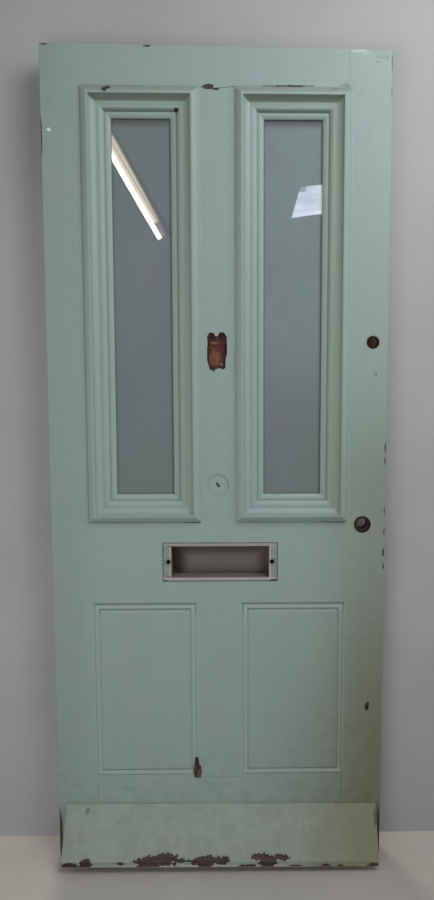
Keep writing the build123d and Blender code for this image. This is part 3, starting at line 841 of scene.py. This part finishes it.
# How ragged the losses are, how far past their outlines they spread, and how steep their rims are
LOSS_RAGGEDNESS = 0.55
LOSS_SPREAD = 0.2
LOSS_STEEPNESS = 4
LOSS_LIMIT = -0.45

# The worn nose of the board: its height, its depth and the size of its faces
NOSE_ZONE = 62
NOSE_DEPTH = 26
NOSE_STEP = 3


def loss_at(place):
    """How much of the board's skin is gone at a place, from 0 to 1."""
    x, z = place.x / MM, place.z / MM
    ragged = noise.fractal(Vector((x / 9, 0, z / 6)), 0.9, 2, 4) * LOSS_RAGGEDNESS
    deepest = -1
    for middle, level, width, height in LOSSES:
        reach = math.hypot((x - middle) / (width / 2), (z - level) / (height / 2))
        deepest = max(deepest, 1 - reach)
    if deepest <= LOSS_LIMIT:
        return 0
    return min(max(deepest + ragged + LOSS_SPREAD, 0) * LOSS_STEEPNESS, 1)


def refine(mesh, low, high, step, normal, kept):
    """Cuts the kept faces of a mesh by evenly spaced planes."""
    cuts = round((high - low) / step)
    for number in range(1, cuts):
        place = normal * (low + (high - low) * number / cuts) * MM
        faces = [face for face in mesh.faces if kept(face)]
        edges = {edge for face in faces for edge in face.edges}
        verts = {vert for face in faces for vert in face.verts}
        bmesh.ops.bisect_plane(
            mesh, geom=[*verts, *edges, *faces], plane_co=place, plane_no=normal, dist=0.0001 * MM
        )


def weatherboard():
    """The sloping board, with its nose worn and broken away."""
    node = "weatherboard"
    low, high = millimetres(node)
    mesh = copied(node)
    everything = [*mesh.verts, *mesh.edges, *mesh.faces]
    bmesh.ops.bisect_plane(
        mesh, geom=everything, plane_co=(0, 0, NOSE_ZONE * MM), plane_no=(0, 0, 1), dist=0.0001 * MM
    )

    def on_nose(face):
        middle = face.calc_center_median() / MM
        return middle.z < NOSE_ZONE and middle.y < low.y + NOSE_DEPTH

    refine(mesh, low.x, high.x, NOSE_STEP, Vector((1, 0, 0)), on_nose)
    refine(mesh, low.z, NOSE_ZONE, NOSE_STEP, Vector((0, 0, 1)), on_nose)
    bare = mesh.verts.layers.float.new("bare")
    mesh.normal_update()
    for vert in mesh.verts:
        outward = -vert.normal.y
        if vert.co.z < NOSE_ZONE * MM and outward > 0.3:
            vert[bare] = loss_at(vert.co)
            vert.co -= vert.normal * vert[bare] * LOSS_DEPTH * MM
    paint = weatherboard_paint()
    finished(mesh, f"{node}_painted", paint, node)
    finished(copied("weatherboard_fillers"), "weatherboard_fillers_painted", paint, "weatherboard_fillers")


def weatherboard_paint():
    """Dirty, yellowed paint, with wood showing where it has gone."""
    finish = Finish("weatherboard_paint")
    colour, roughness, height = paint_coat(finish, LEVEL, age=0.6)
    stains = finish.noise(80, detail=4, roughness=0.55, seed=101)
    colour = finish.mix(finish.fade(stains, 0.35, 0.7) * 0.25 + 0.45, colour, tint(128, 130, 114))
    mottled = finish.noise(34, detail=4, roughness=0.65, seed=103)
    colour = finish.mix(finish.fade(mottled, 0.5, 0.75) * 0.35, colour, tint(162, 172, 160))
    colour = finish.mix(finish.fade(mottled, 0.45, 0.25) * 0.3, colour, tint(112, 112, 96))
    foot = finish.fade(finish.z + (mottled - 0.5) * 16, 32, 20) * finish.fade(stains, 0.3, 0.6)
    colour = finish.mix(foot * 0.65, colour, tint(186, 180, 162))
    # Darker and olive towards the right: part dirt, part painted shade
    right = finish.fade(finish.x, 150, 380)
    colour = finish.mix(right * 0.5, colour, tint(112, 108, 78))
    gone = finish.add("Attribute", {"attribute_name": "bare"}, output="Fac")
    torn = finish.fade(gone + (finish.ragged - 0.5) * 0.5, 0.35, 0.5)
    wood, fibre = timber(finish, (10, 1, 1), tint(84, 65, 64), tint(36, 29, 28))
    colour = finish.mix(torn, colour, wood)
    colour, height = marked(finish, colour, height, [
        (-341, 134, 12, 15, tint(56, 70, 62), 0),
        (402, 113, 6, 44, tint(72, 68, 50), 0.3),
        (372, 143, 66, 4, tint(104, 94, 70), 0.2),
    ])
    return finish.surface(colour, roughness + torn * 0.3, height + torn * fibre * 0.5)


# Torn timber left in the knocker's seat: outline as shares of its width and height
TORN_OUTLINE = (
    (-0.33, 0.08), (-0.46, 0.3), (-0.46, 0.6), (-0.44, 0.8), (-0.04, 0.82), (0.02, 0.74), (0.46, 0.74),
    (0.46, 0.47), (0.39, 0.36), (0.38, 0.14), (0.3, 0.1), (0.08, 0.14), (-0.1, 0.09), (-0.18, 0.04),
)


def mound(x, z, middle, level, width, tall, rise):
    """Height of a smooth rise at a place; all but the rise are shares of the seat."""
    return math.exp(-((x - middle) / width) ** 2 - ((z - level) / tall) ** 2) * rise


def torn_timber():
    """Splintered wood standing on the floor of the knocker's seat."""
    mesh = bmesh.new()
    corners = [
        Vector((SCAR_MIDDLE + x * SCAR_WIDTH, SCAR_FLOOR + 0.5, SCAR_FOOT + z * SCAR_HEIGHT)) * MM
        for x, z in TORN_OUTLINE
    ]
    mesh.faces.new([mesh.verts.new(corner) for corner in corners])
    bmesh.ops.recalc_face_normals(mesh, faces=mesh.faces)
    if mesh.faces[0].normal.y > 0:
        bmesh.ops.reverse_faces(mesh, faces=mesh.faces)
    base = list(mesh.faces)
    raised = bmesh.ops.extrude_face_region(mesh, geom=base)["geom"]
    top = [item for item in raised if isinstance(item, bmesh.types.BMVert)]
    bmesh.ops.translate(mesh, verts=top, vec=Vector((0, -1.5, 0)) * MM)

    def on_top(face):
        return abs(face.normal.y) > 0.9 and face.calc_center_median().y < (SCAR_FLOOR - 0.2) * MM

    refine(mesh, SCAR_MIDDLE - 25, SCAR_MIDDLE + 25, 1.3, Vector((1, 0, 0)), on_top)
    refine(mesh, SCAR_FOOT, SCAR_FOOT + 82, 1.8, Vector((0, 0, 1)), on_top)
    for vert in mesh.verts:
        if vert.is_boundary or vert.co.y > (SCAR_FLOOR - 0.2) * MM:
            continue
        x = (vert.co.x / MM - SCAR_MIDDLE) / SCAR_WIDTH
        z = (vert.co.z / MM - SCAR_FOOT) / SCAR_HEIGHT
        fibre = noise.fractal(Vector((x * 14, 3, z * 3)), 0.8, 2, 4)
        hump = mound(x, z, -0.12, 0.3, 0.26, 0.2, 4.5)
        splinter = mound(x, z, -0.2, 0.73, 0.2, 0.04, 4)
        vert.co.y -= max(hump + splinter + 1.6 * fibre + 0.8, 0) * MM
    bmesh.ops.recalc_face_normals(mesh, faces=mesh.faces)
    finish = Finish("torn_wood")
    wood, fibre = torn_wood(finish)
    material = finish.surface(wood, 0.85 - fibre * 0.15, fibre * 0.6)
    finished(mesh, "torn_timber", material)


def stage_mesh(name, corners, material):
    """A flat piece of the stage."""
    mesh = bmesh.new()
    mesh.faces.new([mesh.verts.new(Vector(corner) * MM) for corner in corners])
    data = bpy.data.meshes.new(name)
    mesh.to_mesh(data)
    mesh.free()
    data.materials.append(material)
    piece = bpy.data.objects.new(name, data)
    bpy.context.scene.collection.objects.link(piece)
    return piece


# The wall stands a little behind the leaf
WALL = BACK + 45


def room():
    """A pale floor, and a wall that is seen from its front only and has painted shade behind the slot."""
    finish = Finish("pale_floor")
    clouds = finish.noise(300, detail=4, seed=111)
    colour = finish.mix(finish.fade(clouds, 0.3, 0.7), tint(186, 178, 170), tint(176, 168, 160))
    floor = finish.surface(colour, 0.7)
    stage_mesh("floor", [(-4000, -5000, 0), (4000, -5000, 0), (4000, 4000, 0), (-4000, 4000, 0)], floor)
    finish = Finish("pale_wall")
    clouds = finish.noise(400, detail=4, seed=113)
    colour = finish.mix(finish.fade(clouds, 0.3, 0.7), tint(182, 180, 179), tint(174, 172, 172))
    # Painted shade on the wall behind the slot, darkest at its ends and along its top
    through = finish.fade(finish.beyond(SLOT), 40, 10)
    deep = finish.fade(abs(finish.x - 3), 84, 116).at_least(finish.fade(finish.z, 772, 800))
    seen = finish.mix(deep, tint(154, 144, 136), tint(110, 92, 84))
    colour = finish.mix(through, colour, seen)
    plaster = finish.add("BsdfPrincipled", sockets={"Base Color": colour, "Roughness": 0.8})
    behind = finish.add("NewGeometry", output="Backfacing")
    clear = finish.add("BsdfTransparent")
    both = finish.add("MixShader", sockets={0: behind, 1: plaster, 2: clear})
    finish.add("OutputMaterial", sockets={"Surface": both})
    corners = [(-3000, WALL, 0), (3000, WALL, 0), (3000, WALL, 3600), (-3000, WALL, 3600)]
    wall = stage_mesh("wall", corners, finish.material)
    wall.visible_shadow = False


CAMERA = Vector((68, -1883, 1253.8))
PAN, PITCH, ROLL = -1.24076, -5.68662, -0.05632


def camera():
    data = bpy.data.cameras.new("camera")
    data.sensor_fit = "VERTICAL"
    data.sensor_height = 24
    data.lens = 20
    data.shift_x = -0.05
    view = bpy.data.objects.new("camera", data)
    turn = Matrix.Rotation(math.radians(PAN), 4, "Z") @ Matrix.Rotation(math.radians(PITCH), 4, "X")
    turn = turn @ Matrix.Rotation(math.radians(ROLL), 4, "Y") @ Matrix.Rotation(math.radians(90), 4, "X")
    view.matrix_world = Matrix.Translation(CAMERA * MM) @ turn
    bpy.context.scene.collection.objects.link(view)
    bpy.context.scene.camera = view


def mirrored(x, z):
    """Where a thing stands that the camera sees at a place on the glass."""
    return (2 * x - CAMERA.x, CAMERA.y, 2 * z - CAMERA.z)


def reflection(name, corners, glow):
    """A bright thing in front of the door that only its reflections show."""
    piece = stage_mesh(name, [mirrored(x, z) for x, z in corners], glow)
    piece.visible_camera = False
    piece.visible_diffuse = False
    piece.visible_transmission = False
    piece.visible_shadow = False


def reflections():
    """A lamp tube across the left pane and a bright window in the right one."""
    start, end = Vector((-281.6, 1828)), Vector((-139.5, 1583))
    along = (end - start).normalized()
    across = Vector((-along.y, along.x))
    finish = Finish("lamp_glow")
    x = (finish.x + CAMERA.x) / 2 - start.x
    z = (finish.z + CAMERA.z) / 2 - start.y
    side = x * across.x + z * across.y
    run = x * along.x + z * along.y
    length = (end - start).length
    core = finish.fade(abs(side), 6.8, 5)
    casing = finish.fade(side, 4, 7) * finish.fade(side + run * 0.04, 33, 24)
    past_end = finish.fade(run, length * 0.86, length * 0.88)
    end_cap = finish.line(run - length * 0.87, 5)
    stripes = finish.fade(side, 16, 11) * 11 + finish.line(side - 22, 7) * 11 + 7
    cream = finish.mix(finish.fade(side, 14, 30), tint(240, 220, 198), tint(170, 148, 128))
    colour = finish.mix(core, cream, tint(255, 253, 246))
    band = stripes * (1 - past_end * 0.75) * (1 - end_cap * 0.85)
    strength = (core * 40 + casing * (1 - core) * band) * finish.fade(run, length, length - 5)
    corners = [start - across * 10, end - across * 10, end + across * 34, start + across * 34]
    reflection("lamp", corners, finish.glow(colour, strength))
    finish = Finish("window_glow")
    x = (finish.x + CAMERA.x) / 2
    z = (finish.z + CAMERA.z) / 2
    streaks = finish.fade(finish.noise(40, detail=3, stretch=(4, 1, 1), seed=123), 0.3, 0.7)
    notch = finish.fade(x, 216, 214) * finish.fade(z, 1697, 1699)
    creamy = finish.fade(x + (streaks - 0.5) * 10, 240, 252)
    colour = finish.mix(streaks * 0.9, tint(226, 232, 252), tint(178, 190, 212))
    colour = finish.mix(creamy * 0.8, colour, tint(206, 212, 200))
    foot = finish.fade(z - x * 0.13, 1625, 1619)
    strength = (16 + foot * 5) * (1 - notch * 0.6)
    window = [(198.2, 1698), (203, 1709.8), (258.4, 1716.1), (259.1, 1647.3), (180.2, 1636.2)]
    reflection("window", window, finish.glow(colour, strength))


def soft_light(name, place, aim, size, power, colour):
    data = bpy.data.lights.new(name, "AREA")
    data.shape = "SQUARE"
    data.size = size * MM
    data.energy = power
    data.color = colour
    lamp = bpy.data.objects.new(name, data)
    lamp.location = Vector(place) * MM
    lamp.rotation_euler = (Vector(aim) - Vector(place)).to_track_quat("-Z", "Y").to_euler()
    bpy.context.scene.collection.objects.link(lamp)
    return lamp


def lighting():
    """Cool light from high on the right, weaker ones from the sides, low in front and indoors."""
    soft_light("key", (1000, -1600, 3000), (0, 0, 1000), 1000, 17.5, (0.94, 0.98, 1))
    soft_light("side", (1000, -900, 2200), (0, 0, 1000), 1000, 8.5, (0.94, 0.98, 1))
    soft_light("left", (-2200, -700, 1300), (0, 0, 1200), 1400, 8, (0.92, 0.97, 1))
    soft_light("right", (2200, -700, 1300), (0, 0, 1200), 1400, 5, (0.92, 0.97, 1))
    fill = soft_light("fill", (-450, -1800, 900), (-100, 0, 600), 1000, 10.5, (0.9, 0.95, 1))
    fill.visible_glossy = False
    indoors = soft_light("indoor", (-700, 2500, 600), (0, 0, 1000), 800, 60, (1, 0.98, 0.95))
    indoors.data.cycles.max_bounces = 0
    indoors.visible_glossy = False
    world = bpy.data.worlds.new("room_light")
    bpy.context.scene.world = world
    world.use_nodes = True
    nodes = Nodes(world.node_tree)
    rays = [nodes.add("LightPath", output=f"Is {kind} Ray") for kind in ("Camera", "Glossy", "Transmission")]
    shown = rays[0].at_least(rays[1]).at_least(rays[2])
    pale = nodes.add("Background", sockets={"Color": tint(206, 204, 202)})
    soft = nodes.add("Background", sockets={"Color": tint(230, 236, 242), "Strength": 0.1})
    mixed = nodes.add("MixShader", sockets={0: shown, 1: soft, 2: pale})
    nodes.add("OutputWorld", sockets={"Surface": mixed})
    bpy.context.scene.view_settings.view_transform = "Standard"


frame_members()
plain_pieces()
panes()
bare_pieces()
weatherboard()
torn_timber()
room()
reflections()
lighting()
camera()
